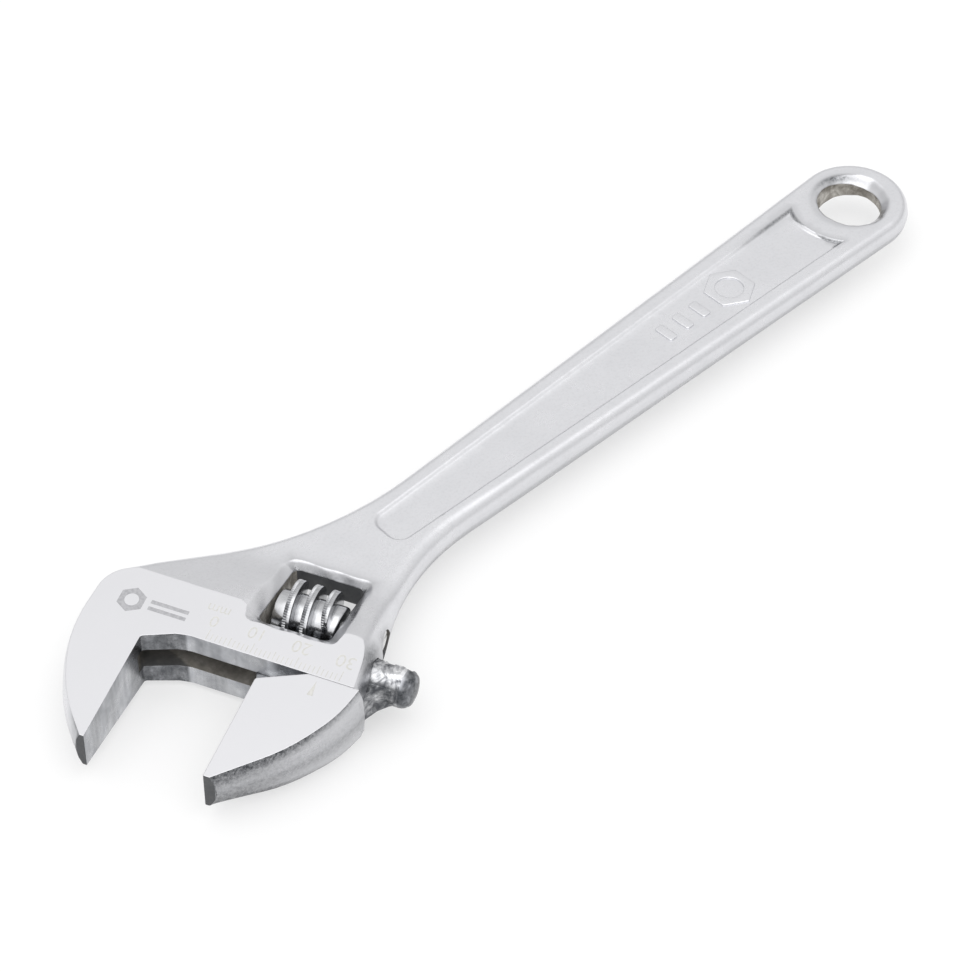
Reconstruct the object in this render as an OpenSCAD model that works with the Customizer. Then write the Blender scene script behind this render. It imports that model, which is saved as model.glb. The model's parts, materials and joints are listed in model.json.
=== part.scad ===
// Adjustable wrench: forged body, movable jaw with a rack shank, worm screw, worm pin and worm spring.
// The handle lies along X with the jaws at +X, and the two broad faces look up and down Z.
// In the head, u runs square to the jaw faces, from the fixed to the movable jaw, and w runs back
// from the jaws' shoulder towards the handle.

/* [Handle] */
// from the hanging hole to the shoulder line, along the handle
handle_l = 199.9; // [190:0.5:210]
// from the handle's centre line to the scale's zero
head_shift = 1.6; // [0:0.1:3]
// width of the handle at the hanging hole
eye_w = 26.2; // [24:0.2:28]
// width of the handle where it runs into the neck
neck_w = 17.8; // [16:0.2:20]
// thickness of the handle at the hanging hole
eye_t = 6.3; // [5:0.1:8]
// thickness of the handle at the neck
neck_t = 8.2; // [7:0.1:10]
// depth of the sunk panel in each broad face
panel_depth = 0.6; // [0.2:0.1:1]
// radius of the hanging hole
hole_r = 7.55; // [5:0.05:8.5]
// width of the flare round the hanging hole
hole_flare = 1.8; // [0.5:0.1:2.4]

/* [Head] */
// angle of the jaws' slide from square across the handle
head_angle = 23; // [15:0.5:26]
// half thickness of the ground face at the shoulder line
face_t = 7.55; // [7:0.05:8]
// rise of each ground face per millimetre towards the handle
face_rise = 0.095; // [0.05:0.005:0.11]
// back edge of the ground face
ridge_w = 12.2; // [11:0.1:13]
// fall of each forged face per millimetre behind the ground face
back_fall = 0.265; // [0.2:0.005:0.3]

/* [Jaws] */
// gap between the jaws at rest
opening = 26.7; // [24:0.1:28]
// reach of the jaws in front of the shoulder
jaw_reach = 30.3; // [28:0.1:32]
// radius of the movable jaw's shank
shank_r = 4.25; // [4:0.05:4.3]
// distance of the shank behind the shoulder
shank_w = 9.6; // [9.4:0.05:9.8]
// half thickness of the web between the jaw and its shank
web_t = 2.5; // [2:0.1:2.8]

/* [Worm] */
// outside radius of the worm
worm_r = 7.8; // [7.4:0.05:7.9]
// radius of the worm's hub
hub_r = 5.1; // [4.6:0.05:5.15]
// distance of the worm behind the shoulder
worm_w = 19.1; // [19:0.05:19.4]
// advance of the thread in one turn
pitch = 4; // [3.8:0.05:4.2]
// width of the thread along the worm
thread_w = 1.65; // [1.2:0.05:1.8]
// radius of the worm pin
pin_r = 1.95; // [1.5:0.05:2.1]
// radius of the spring's wire
wire_r = 0.4; // [0.3:0.05:0.45]

/* [Hidden] */
$fn = 64;

slip = 0.08;        // running gap round the shank, the web and the shoulder
bore_slip = 0.05;   // running gap round the pin
deep = 40;          // cutters this tall pass right through
wide = 260;         // and this wide
fixed_u = -13;      // the fixed jaw's face
open_u = fixed_u + opening;
closed_travel = opening - 0.1;
window = [7.2, 23.5, 10.1, 29.1];  // the worm's window: low u, high u, low w, high w
shank_u = [8.5, 43.2];
hub_u = [7.9, 22.6];
thread_u = [9.7, 20.9];
thread_phase = 12.6;  // u where a thread crest faces the shank
rack_gap = thread_w + 0.65;
pin_head_r = 3.1;
pin_head_u = [27, 31.4];
pocket_r = 3.7;
pocket_l = 7.2;
coil_r = 2.95;
coils = 5;
// centre of the whole tool's outline, from the hanging hole, and the height of the highest ridge
centre = [109.74, 2.31];
top_z = face_t + face_rise * ridge_w;

function unit(v) = v / norm(v);
function flat(p) = [p[0], p[1]];

// the points of one rounded corner: q is [x, y, radius], p and s are its neighbours
function corner(p, q, s) =
  q[2] == 0 ? [flat(q)] :
  let (
    a = unit(flat(p) - flat(q)),
    b = unit(flat(s) - flat(q)),
    half = acos(a * b) / 2,
    m = flat(q) + unit(a + b) * q[2] / sin(half),
    v = flat(q) + a * q[2] / tan(half) - m,
    e = flat(q) + b * q[2] / tan(half) - m,
    start = atan2(v[1], v[0]),
    raw = atan2(e[1], e[0]) - start,
    sweep = raw > 180 ? raw - 360 : raw < -180 ? raw + 360 : raw,
    steps = max(2, ceil(abs(sweep) / 5))
  )
  [for (i = [0:steps]) m + q[2] * [cos(start + sweep * i / steps), sin(start + sweep * i / steps)]];

function rounded(c) =
  let (n = len(c))
  [for (i = [0:n - 1]) each corner(c[(i + n - 1) % n], c[i], c[(i + 1) % n])];

// the head's own directions, placed on the handle
module at_head() {
  translate([handle_l, -head_shift, 0])
    rotate([0, 0, 90 + head_angle])
      children();
}

module in_row() {
  translate([-centre[0], -centre[1], top_z])
    children();
}

// a bar along u
module along_u(u, w) {
  translate([u, w, 0])
    rotate([0, 90, 0])
      children();
}

// everything nearer the middle than a line drawn over w (or over x)
module slab(line) {
  n = len(line);
  polygon([
    for (p = line) p,
    for (i = [n - 1:-1:0]) [line[i][0], -line[i][1]]
  ]);
}

module across_u(line) {
  rotate([90, 0, 90])
    linear_extrude(height = wide, center = true)
      slab(line);
}

module across_handle(line) {
  rotate([90, 0, 0])
    linear_extrude(height = wide, center = true)
      slab(line);
}

// the two ground faces, thickest at their back edge
module ground_faces() {
  across_u([
    [-60, face_t - 60 * face_rise],
    [wide, face_t + wide * face_rise]
  ]);
}

// the forged faces behind the ground ones, falling towards the handle
module forged_faces() {
  across_u([
    [-60, top_z + (ridge_w + 60) * back_fall],
    [ridge_w + 24, top_z - 24 * back_fall],
    [ridge_w + 24.2, 0.2]
  ]);
}

module handle_faces(sink) {
  across_handle([
    [-30, eye_t / 2 - sink],
    [0, eye_t / 2 - sink],
    [150, neck_t / 2 - sink],
    [260, neck_t / 2 - sink]
  ]);
}

// seen from above: fixed jaw, throat, neck and shoulder
module head_outline() {
  polygon(rounded([
    [fixed_u, -jaw_reach, 0.6],
    [fixed_u, -3.6, 0.8],
    [-6.4, -0.6, 0.8],
    [-4.6, -0.2, 1],
    [-3.2, 0, 1],
    [35.2, 0, 0.8],
    [33.5, 12.8, 24],
    [28.5, 40.6, 56],
    [37.5, 60.2, 0],
    [17.3, 60.2, 0],
    [11.2, 44.8, 78],
    [-19.4, 17.4, 15],
    [-27.8, 8.9, 10.7],
    [-28.7, -7.4, 34],
    [-22.6, -22, 40],
    [-15, -jaw_reach, 0.8]
  ]));
}

module handle_bar() {
  linear_extrude(height = deep, center = true)
    polygon([
      [0, eye_w / 2],
      [150, neck_w / 2],
      [150, -neck_w / 2],
      [0, -eye_w / 2]
    ]);
  translate([-1, 0, 0])
    cylinder(r = eye_w / 2, h = deep, center = true, $fn = 96);
}

// the sunk panel, ending in a curve that follows the hanging hole
module panel_outline() {
  difference() {
    polygon(rounded([
      [9, 8.4, 0],
      [150.8, 5, 3.6],
      [150.8, -5, 3.6],
      [9, -8.4, 0]
    ]));
    circle(r = 13.8, $fn = 96);
  }
}

// the flared mouth of the worm's window in the top face
module window_flare() {
  side = 2.8;
  polyhedron(
    points = [
      [window[0], window[2], 6.45],
      [window[1], window[2], 6.45],
      [window[1], window[3], 2.65],
      [window[0], window[3], 2.65],
      [window[0] - side, window[2] - side, 9.6],
      [window[1] + side, window[2] - side, 9.6],
      [window[1] + side, window[3] + side, 4.9],
      [window[0] - side, window[3] + side, 4.9]
    ],
    faces = [
      [0, 1, 2, 3],
      [7, 6, 5, 4],
      [0, 4, 5, 1],
      [1, 5, 6, 2],
      [2, 6, 7, 3],
      [3, 7, 4, 0]
    ]
  );
}

module worm_window() {
  linear_extrude(height = deep, center = true)
    polygon(rounded([
      [window[0], window[2], 1.6],
      [window[1], window[2], 1.6],
      [window[1], window[3], 1.6],
      [window[0], window[3], 1.6]
    ]));
  window_flare();
  mirror([0, 0, 1])
    window_flare();
}

// keyhole slot that the movable jaw's shank and web slide in
module jaw_way() {
  stop_u = shank_u[0] - closed_travel - 0.4;
  along_u(stop_u, shank_w)
    cylinder(r = shank_r + slip, h = 70);
  linear_extrude(height = 2 * (web_t + slip), center = true)
    polygon([
      [stop_u, shank_w],
      [stop_u, 4.4],
      [stop_u + 3, 0],
      [stop_u + 5.4, -5.6],
      [60, -5.6],
      [60, shank_w]
    ]);
}

module pin_holes() {
  along_u(2.4, worm_w)
    cylinder(r = pin_r + bore_slip, h = 26);
  along_u(pin_head_u[0], worm_w)
    cylinder(r = pin_head_r + bore_slip, h = 20);
}

module hanging_hole() {
  cylinder(r = hole_r, h = deep, center = true);
  for (side = [0, 1])
    mirror([0, 0, side])
      translate([0, 0, eye_t / 2 - hole_flare])
        cylinder(r1 = hole_r, r2 = hole_r + 2 * hole_flare, h = 2 * hole_flare);
}

module body() {
  color("silver")
    difference() {
      intersection() {
        union() {
          handle_bar();
          at_head()
            linear_extrude(height = deep, center = true)
              head_outline();
        }
        at_head()
          ground_faces();
        union() {
          handle_faces(0);
          at_head()
            forged_faces();
        }
      }
      hanging_hole();
      difference() {
        linear_extrude(height = deep, center = true)
          panel_outline();
        handle_faces(panel_depth);
      }
      at_head() {
        worm_window();
        jaw_way();
        pin_holes();
      }
    }
}

// seen from above: the movable jaw's block
module jaw_outline() {
  polygon(rounded([
    [open_u, -jaw_reach, 0.6],
    [open_u + 2.6, -jaw_reach, 0.8],
    [open_u + 14, -19.2, 40],
    [open_u + 20.6, -8, 30],
    [open_u + 22.2, -slip, 0.8],
    [open_u + 9.8, -slip, 1],
    [open_u, -4.9, 0.8]
  ]));
}

module web_outline() {
  polygon([
    [open_u + 1, -9],
    [open_u, -8],
    [open_u, -5.4],
    [shank_u[0] + 3, 0],
    [shank_u[0], 4.6],
    [shank_u[0], shank_w],
    [shank_u[1] - 2.6, shank_w],
    [shank_u[1] - 2.6, 7.4],
    [open_u + 25, 6],
    [open_u + 23.3, 3.8],
    [open_u + 22.2, 1],
    [open_u + 20.8, -4],
    [open_u + 17, -9]
  ]);
}

// gaps between the rack teeth: they follow the worm's round and lean to suit its thread
module rack_gaps() {
  first = -1;
  last = 7;
  for (i = [first:last])
    translate([thread_phase + i * pitch, worm_w, 0])
      rotate([0, 90 - atan(pitch / (2 * PI * worm_r)), 0])
        cylinder(r = worm_r + 0.3, h = rack_gap, center = true, $fn = 96);
}

module jaw() {
  color("gainsboro")
    union() {
      intersection() {
        linear_extrude(height = deep, center = true)
          jaw_outline();
        ground_faces();
      }
      linear_extrude(height = 2 * web_t, center = true)
        web_outline();
      difference() {
        along_u(0, shank_w)
          rotate_extrude()
            polygon([
              [0, shank_u[0]],
              [shank_r - 0.5, shank_u[0]],
              [shank_r, shank_u[0] + 0.5],
              [shank_r, shank_u[1] - 2.6],
              [shank_r - 0.7, shank_u[1] - 0.9],
              [shank_r - 2, shank_u[1]],
              [0, shank_u[1]]
            ]);
        rack_gaps();
      }
    }
}

// one slice of the thread: a broad tooth that the hub's own round closes
module thread_slice() {
  spread = 180 * thread_w / pitch;
  steps = 10;
  polygon([
    for (i = [0:steps]) worm_r * [cos(-spread + 2 * spread * i / steps), sin(-spread + 2 * spread * i / steps)],
    for (i = [4:-1:0]) (hub_r - 0.5) * [cos(-spread + spread * i / 2), sin(-spread + spread * i / 2)]
  ]);
}

module worm() {
  span = thread_u[1] - thread_u[0];
  turns = span / pitch;
  color("lightgrey")
    difference() {
      union() {
        along_u(hub_u[0], worm_w)
          cylinder(r = hub_r, h = hub_u[1] - hub_u[0]);
        translate([thread_u[0], worm_w, 0])
          rotate([0, 0, 90])
            rotate([90, 0, 0])
              rotate([0, 0, 180 + 360 * (thread_u[0] - thread_phase) / pitch])
                linear_extrude(height = span, twist = -360 * turns, slices = 72, segments = 1, $fn = 0)
                  thread_slice();
      }
      along_u(0, worm_w)
        cylinder(r = pin_r + bore_slip, h = 40);
      along_u(hub_u[0] - 1, worm_w)
        cylinder(r = pocket_r, h = pocket_l + 1);
    }
}

module pin() {
  slot_w = 1;
  slot_depth = 1.1;
  color("dimgray")
    difference() {
      union() {
        along_u(2.6, worm_w)
          cylinder(r = pin_r, h = pin_head_u[0] - 2);
        along_u(pin_head_u[0], worm_w)
          cylinder(r = pin_head_r, h = pin_head_u[1] - pin_head_u[0]);
      }
      translate([pin_head_u[1] - slot_depth, worm_w - 5, -slot_w / 2])
        cube([5, 10, slot_w]);
    }
}

// round wire swept along a coil
module spring() {
  sides = 8;
  around = 20;
  total = coils * around;
  low = window[0] + wire_r + 0.02;
  high = hub_u[0] + pocket_l - wire_r - 0.05;
  rings = [
    for (k = [0:total])
      let (a = 360 * k / around, u = low + (high - low) * k / total)
      [for (j = [0:sides - 1])
        let (b = 360 * j / sides, r = coil_r + wire_r * cos(b))
        [u + wire_r * sin(b), worm_w + r * cos(a), r * sin(a)]]
  ];
  color("gray")
    polyhedron(
      points = [for (r = rings) each r],
      faces = [
        [for (j = [0:sides - 1]) j],
        for (k = [0:total - 1], j = [0:sides - 1])
          [k * sides + j, (k + 1) * sides + j, (k + 1) * sides + (j + 1) % sides, k * sides + (j + 1) % sides],
        [for (j = [sides - 1:-1:0]) total * sides + j]
      ]
    );
}

in_row() {
  body();
  at_head() jaw();
  at_head() worm();
  at_head() pin();
  at_head() spring();
}
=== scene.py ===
import json
import math

import bmesh
import bpy
import numpy as np
from mathutils import Matrix, Vector, noise
from mathutils.geometry import delaunay_2d_cdt


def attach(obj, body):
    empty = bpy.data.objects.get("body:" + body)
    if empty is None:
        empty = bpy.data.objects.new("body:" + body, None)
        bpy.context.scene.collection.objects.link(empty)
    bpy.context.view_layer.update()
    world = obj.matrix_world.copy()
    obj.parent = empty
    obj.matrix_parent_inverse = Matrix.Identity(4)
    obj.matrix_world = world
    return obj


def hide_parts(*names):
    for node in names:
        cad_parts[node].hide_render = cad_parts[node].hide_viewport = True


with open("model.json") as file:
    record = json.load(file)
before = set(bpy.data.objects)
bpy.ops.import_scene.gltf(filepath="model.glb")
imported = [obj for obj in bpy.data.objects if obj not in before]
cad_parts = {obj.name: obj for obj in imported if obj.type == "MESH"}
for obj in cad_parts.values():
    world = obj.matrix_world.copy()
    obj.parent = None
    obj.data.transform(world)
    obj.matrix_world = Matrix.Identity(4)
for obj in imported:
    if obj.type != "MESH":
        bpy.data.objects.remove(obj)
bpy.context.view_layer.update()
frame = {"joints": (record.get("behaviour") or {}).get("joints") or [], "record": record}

# Everything is built in millimetres, in the head's or the handle's own directions, and placed
# in the row frame at the end. In the head, u runs square to the jaw faces and w runs back from
# the jaws' shoulder. On the handle, x runs from the hanging hole to the head. z = 0 is the middle.
MM = 0.001
MOUNTS = {m["name"]: Vector(m["pos_m"]) for m in frame["record"]["mounts"]}
JOINTS = {j["name"]: j for j in frame["joints"]}

U = Vector(JOINTS["jaw_slide"]["axis"]).normalized()
W = Vector((-U.y, U.x, 0))
FIXED_U = -13.0
MOUNT_W = -17.0
HEAD_AT = MOUNTS["fixed_jaw_face"] - (FIXED_U * U + MOUNT_W * W) * MM
HOLE_AT = MOUNTS["hang_hole"]
HEAD = Matrix.Translation(HEAD_AT) @ Matrix(
    ((U.x * MM, W.x * MM, 0, 0), (U.y * MM, W.y * MM, 0, 0), (0, 0, MM, 0), (0, 0, 0, 1))
)
HANDLE = Matrix.Translation(HOLE_AT) @ Matrix.Diagonal((MM, MM, MM, 1))
HEAD_TO_HANDLE = HANDLE.inverted() @ HEAD
HANDLE_TO_HEAD = HEAD_TO_HANDLE.inverted()

# the handle
EYE_R = 13.1
NECK_X = 150.0
EYE_HALF_T = 3.15
NECK_HALF_T = 4.1
HOLE_R = 7.55
HOLE_WIDEST = 2.75  # radians
EYE_X = -1
EYE_FROM = 88.4  # degrees
PANEL_DEPTH = 0.6
PANEL_WALL = 0.9
PANEL_END_R = 13.8
PANEL_END_X = 150.8
PANEL_HALF_W = (8.2, 5)
PANEL_CORNER = 3.6

# the head
FACE_T = 7.55
FACE_RISE = 0.095
RIDGE_W = 12.2
BACK_FALL = 0.265
RIDGE_T = FACE_T + FACE_RISE * RIDGE_W
GRINDING = 1.5
JAW_REACH = 30.3
WINDOW = (7.2, 23.5, 10.1, 29.1)
WINDOW_R = 1.6
WINDOW_EDGE_T = 6.45
WINDOW_EDGE_FALL = 0.2

# the edges of the forging: how far in, and what share of the thickness, the rounding reaches
EYE_EDGE = 1.9
HANDLE_EDGE = 2.3
HEAD_EDGE = 2.6
NECK_EDGE = 1.3
EDGE_SHARE = 0.88
DRAFT = 0.12

# how finely edges, walls and rounded corners (in degrees) are divided
EDGE_STEPS = 8
WALL_ROWS = 6
CORNER_STEP = 4.0

# the jaw, its shank, and the worm
OPEN_U = 13.7
SLIP = 0.08
SHANK_R = 4.25
SHANK_W = 9.6
SHANK_U = (8.5, 43.2)
WEB_T = 2.5
WORM_W = 19.1
WORM_R = 7.8
HUB_R = 5.1
HUB_U = (7.9, 22.6)
PITCH = 4.0
CREST_U = 12.6
THREAD_HALF = 0.82
PIN_R = 1.95
BORE_R = 2.0
POCKET_R = 3.7
POCKET_L = 7.2
PIN_HEAD_R = 3.1
PIN_HEAD_U = (27.0, 31.4)
CLOSED_TRAVEL = 26.6
RACK_GAPS = range(-1, 8)
RACK_CLEAR_U = 0.33
RACK_CLEAR_R = 0.3

# the markings: how far their upper side stands above the face, and how deep they go
MARK_UP = 0.012
MARK_DEPTH = 0.05

# the place of a face's material in its piece's list
FORGED, GROUND, CUT, BORE, ROUGH = range(5)


# ---------------- outlines


def unit(v):
    return v / np.linalg.norm(v)


def corner(before, at, after):
    """The points of one corner [x, y, radius] of an outline."""
    p, q, s = (np.array(c[:2], float) for c in (before, at, after))
    if at[2] == 0:
        return [q]
    a, b = unit(p - q), unit(s - q)
    half = math.acos(float(np.clip(a @ b, -1, 1))) / 2
    middle = q + unit(a + b) * at[2] / math.sin(half)
    v = q + a * at[2] / math.tan(half) - middle
    e = q + b * at[2] / math.tan(half) - middle
    start = math.atan2(v[1], v[0])
    sweep = math.atan2(e[1], e[0]) - start
    sweep = (sweep + math.pi) % (2 * math.pi) - math.pi
    steps = max(2, math.ceil(abs(math.degrees(sweep)) / CORNER_STEP))
    angles = start + sweep * np.arange(steps + 1) / steps
    return [middle + at[2] * np.array([math.cos(t), math.sin(t)]) for t in angles]


def rounded(corners, closed=True):
    n = len(corners)
    points = []
    for i, c in enumerate(corners):
        if not closed and i in (0, n - 1):
            points.append(np.array(c[:2], float))
        else:
            points += corner(corners[i - 1], c, corners[(i + 1) % n])
    return np.array(points)


def rectangle(low_u, high_u, low_w, high_w):
    return [(low_u, low_w), (high_u, low_w), (high_u, high_w), (low_u, high_w)]


def rounded_rectangle(sides, radius):
    return rounded([[u, w, radius] for u, w in rectangle(*sides)])


def densified(points, spacing, closed=True):
    """The same outline with no step longer than spacing."""
    ends = np.roll(points, -1, axis=0) if closed else points[1:]
    out = []
    for a, b in zip(points, ends):
        n = max(1, math.ceil(np.linalg.norm(b - a) / spacing - 1e-6))
        out += [a + (b - a) * k / n for k in range(n)]
    if not closed:
        out.append(points[-1])
    return np.array(out)


def without_repeats(points):
    keep = np.linalg.norm(points - np.roll(points, 1, axis=0), axis=1) > 1e-4
    return points[keep]


def distance(points, line, closed=True):
    """From each point to the nearest part of a line."""
    a = line if closed else line[:-1]
    b = np.roll(line, -1, axis=0) if closed else line[1:]
    d = b - a
    length = np.maximum((d * d).sum(1), 1e-12)
    best = np.full(len(points), 1e9)
    for i in range(0, len(points), 2000):
        p = points[i : i + 2000, None, :]
        t = np.clip(((p - a) * d).sum(2) / length, 0, 1)
        best[i : i + 2000] = np.sqrt((((p - a) - t[..., None] * d) ** 2).sum(2).min(1))
    return best


def inside(points, loops):
    """Whether each point is inside an odd number of the loops."""
    odd = np.zeros(len(points), bool)
    x, y = points[:, 0], points[:, 1]
    for loop in loops:
        for (x0, y0), (x1, y1) in zip(loop, np.roll(loop, -1, axis=0)):
            crosses = (y0 > y) != (y1 > y)
            if crosses.any():
                at = x0 + (y[crosses] - y0) * (x1 - x0) / (y1 - y0)
                odd[crosses] ^= x[crosses] < at
    return odd


def inward(line, closed=True):
    """Unit vectors square to a line, pointing to its left."""
    if closed:
        d = np.roll(line, -1, axis=0) - np.roll(line, 1, axis=0)
    else:
        d = np.gradient(line, axis=0)
    d = d / np.maximum(np.linalg.norm(d, axis=1, keepdims=True), 1e-9)
    return np.stack([-d[:, 1], d[:, 0]], axis=1)


def rings(line, offsets, closed=True):
    """Rows of points at the given distances from a line, with those that fold back left out."""
    slack = 0.03
    normal = inward(line, closed)
    out = []
    for d in offsets:
        d = np.broadcast_to(d, len(line))
        row = line + normal * d[:, None]
        out.append(row[distance(row, line, closed) > np.abs(d) - slack])
    return np.concatenate(out)


def turned(points, matrix):
    """2-D points moved by a 4x4."""
    m = np.array(matrix)
    return points @ m[:2, :2].T + m[:2, 3]


def smooth_min(a, b, reach):
    h = np.clip(0.5 + 0.5 * (b - a) / reach, 0, 1)
    return b + (a - b) * h - reach * h * (1 - h)


def smooth_max(a, b, reach):
    return -smooth_min(-a, -b, reach)


def step(t):
    t = np.clip(t, 0, 1)
    return t * t * (3 - 2 * t)


def face_height(w):
    """Half thickness of the head at its ground faces."""
    return FACE_T + FACE_RISE * w


def ripple(points, size, seed):
    """Slow unevenness, from about -1 to 1."""
    return np.array([noise.noise(Vector((x / size, y / size, seed))) for x, y in points])


# ---------------- meshes


def linked(name, data):
    obj = bpy.data.objects.new(name, data)
    bpy.context.scene.collection.objects.link(obj)
    return obj


def new_object(name, bm):
    mesh = bpy.data.meshes.new(name)
    bm.to_mesh(mesh)
    bm.free()
    return linked(name, mesh)


def closed_object(name, bm, kind=FORGED):
    for f in bm.faces:
        f.material_index = kind
    bmesh.ops.recalc_face_normals(bm, faces=bm.faces)
    return new_object(name, bm)


def hex_grid(low, high, spacing):
    rows = []
    for k, y in enumerate(np.arange(low[1], high[1], spacing * 0.87)):
        x = np.arange(low[0], high[0], spacing) + spacing * 0.5 * (k % 2)
        rows.append(np.stack([x, np.full(len(x), y)], axis=1))
    return np.concatenate(rows)


def spaced(points, taken, reach):
    """The points that are at least reach from the points already taken."""
    grid = {}
    for p in taken:
        grid.setdefault((int(p[0] // reach), int(p[1] // reach)), []).append(p)
    keep = []
    for p in points:
        i, j = int(p[0] // reach), int(p[1] // reach)
        around = [q for a in (-1, 0, 1) for b in (-1, 0, 1) for q in grid.get((i + a, j + b), [])]
        if all((p[0] - q[0]) ** 2 + (p[1] - q[1]) ** 2 > reach * reach for q in around):
            keep.append(p)
    return np.array(keep).reshape(-1, 2)


def triangulated(loops, free):
    """Triangles that fill the first loop outside the others and pass through the free points."""
    free = free[inside(free, loops)]
    clear = np.min([distance(free, loop) for loop in loops], axis=0) > 0.1
    points, edges = [], []
    for loop in loops:
        n, k = len(points), len(loop)
        edges += [(n + i, n + (i + 1) % k) for i in range(k)]
        points += [Vector(p) for p in loop]
    points += [Vector(p) for p in free[clear]]
    made = delaunay_2d_cdt(points, edges, [], 0, 1e-6)
    at = np.array([tuple(v) for v in made[0]])
    faces = [f for f in made[2] if len(f) == 3]
    centres = np.array([at[list(f)].mean(0) for f in faces])
    good = inside(centres, loops)
    return at, [f for f, g in zip(faces, good) if g]


def two_sided(at, faces, height, wall_kind, bulge):
    """A closed solid: the triangles at +height and -height, with walls between their edges."""
    bm = bmesh.new()
    top = [bm.verts.new((x, y, h)) for (x, y), h in zip(at, height)]
    bottom = [bm.verts.new((x, y, -h)) for (x, y), h in zip(at, height)]
    for f in faces:
        bm.faces.new([top[i] for i in f])
        bm.faces.new([bottom[i] for i in reversed(f)])
    edges = dict.fromkeys(e for f in faces for e in zip(f, f[1:] + f[:1]))
    border = [e for e in edges if (e[1], e[0]) not in edges]
    columns = {}
    for i in {i for e in border for i in e}:
        columns[i] = [top[i]]
        for k in range(1, WALL_ROWS):
            share = 1 - 2 * k / WALL_ROWS
            x, y = at[i] + bulge[i] * (1 - share * share)
            columns[i].append(bm.verts.new((x, y, height[i] * share)))
        columns[i].append(bottom[i])
    middles = np.array([(at[a] + at[b]) / 2 for a, b in border])
    for (a, b), kind in zip(border, wall_kind(middles)):
        left, right = columns[b], columns[a]
        for k in range(WALL_ROWS):
            face = bm.faces.new((left[k], right[k], right[k + 1], left[k + 1]))
            face.material_index = int(kind)
    bmesh.ops.recalc_face_normals(bm, faces=bm.faces)
    return bm


def ground_flat(bm, from_head):
    """Cuts the mesh along both ground planes and presses what stands above them flat."""
    to_head = from_head.inverted()
    for side in (1, -1):
        at = from_head @ Vector((0, 0, side * FACE_T))
        above = from_head @ Vector((0, -FACE_RISE * side, side * (FACE_T + 1)))
        everything = bm.verts[:] + bm.edges[:] + bm.faces[:]
        normal = (above - at).normalized()
        bmesh.ops.bisect_plane(bm, geom=everything, dist=1e-5, plane_co=at, plane_no=normal)
    for v in bm.verts:
        most = face_height((to_head @ v.co).y)
        v.co.z = max(-most, min(most, v.co.z))
    bmesh.ops.remove_doubles(bm, verts=bm.verts, dist=2e-4)
    bmesh.ops.dissolve_degenerate(bm, edges=bm.edges, dist=1e-5)
    for f in bm.faces:
        off = max(abs(abs(v.co.z) - face_height((to_head @ v.co).y)) for v in f.verts)
        if off < 2e-3 and abs(f.normal.z) > 0.5:
            f.material_index = GROUND


def strip(bm, a, b, closed=True):
    """Quads between two rows of vertices."""
    n = len(a)
    for i in range(n if closed else n - 1):
        j = (i + 1) % n
        bm.faces.new((a[i], a[j], b[j], b[i]))


def lathe(name, profile, kind, segments=96):
    """Turns (u, r) points round the u axis, into a ring or, from r = 0 to r = 0, a solid."""
    bm = bmesh.new()
    columns = []
    for k in range(segments):
        t = 2 * math.pi * k / segments
        column = [(u, r * math.cos(t), r * math.sin(t)) for u, r in profile if r > 0]
        columns.append([bm.verts.new(co) for co in column])
    pairs = list(zip(columns, columns[1:] + columns[:1]))
    solid = profile[0][1] == 0
    for a, b in pairs:
        strip(bm, a, b, closed=not solid)
    for end in (0, -1) if solid else ():
        pole = bm.verts.new((profile[end][0], 0, 0))
        for a, b in pairs:
            bm.faces.new((a[end], b[end], pole))
    return closed_object(name, bm, kind)


def cylinder(name, low, high, r, kind, segments):
    return lathe(name, [(low, 0), (low, r), (high, r), (high, 0)], kind, segments)


def plate(bm, outline, low=-MARK_DEPTH, high=0.0):
    rows = [[bm.verts.new((x, y, z)) for x, y in outline] for z in (low, high)]
    strip(bm, *rows)
    bm.faces.new(rows[1])
    bm.faces.new(rows[0][::-1])


def prism(name, outline, low, high, kind):
    bm = bmesh.new()
    plate(bm, outline, low, high)
    return closed_object(name, bm, kind)


def swept(name, rows):
    """A solid skinned over closed rows of points, with its two ends filled."""
    bm = bmesh.new()
    rows = [[bm.verts.new(co) for co in row] for row in rows]
    for a, b in zip(rows, rows[1:]):
        strip(bm, a, b)
    bm.faces.new(rows[0][::-1])
    bm.faces.new(rows[-1])
    return closed_object(name, bm)


def moved(obj, matrix):
    obj.data.transform(matrix)
    return obj


def evaluated_mesh(obj):
    """The mesh of a text, or of an object with its modifiers applied."""
    graph = bpy.context.evaluated_depsgraph_get()
    return bpy.data.meshes.new_from_object(obj.evaluated_get(graph))


def bake_modifiers(obj):
    mesh = evaluated_mesh(obj)
    obj.modifiers.clear()
    old, obj.data = obj.data, mesh
    bpy.data.meshes.remove(old)


def boolean(target, cutter, operation):
    """Applies one boolean and removes the cutter."""
    modifier = target.modifiers.new("cut", "BOOLEAN")
    modifier.object = cutter
    modifier.operation = operation
    modifier.solver = "EXACT"
    modifier.material_mode = "TRANSFER"
    bake_modifiers(target)
    bpy.data.objects.remove(cutter)
    return target


def painted(obj, materials):
    for m in materials:
        obj.data.materials.append(m)
    return obj


def crisp(obj, degrees=28):
    """Smooth shading, with a sharp edge at each real corner and round each ground face."""
    bm = bmesh.new()
    bm.from_mesh(obj.data)
    limit = math.radians(degrees)
    for f in bm.faces:
        f.smooth = True
    for e in bm.edges:
        if len(e.link_faces) != 2:
            continue
        a, b = e.link_faces
        ground = (a.material_index == GROUND) != (b.material_index == GROUND)
        e.smooth = not (ground or e.calc_face_angle(0) > limit)
    bm.to_mesh(obj.data)
    bm.free()


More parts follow.
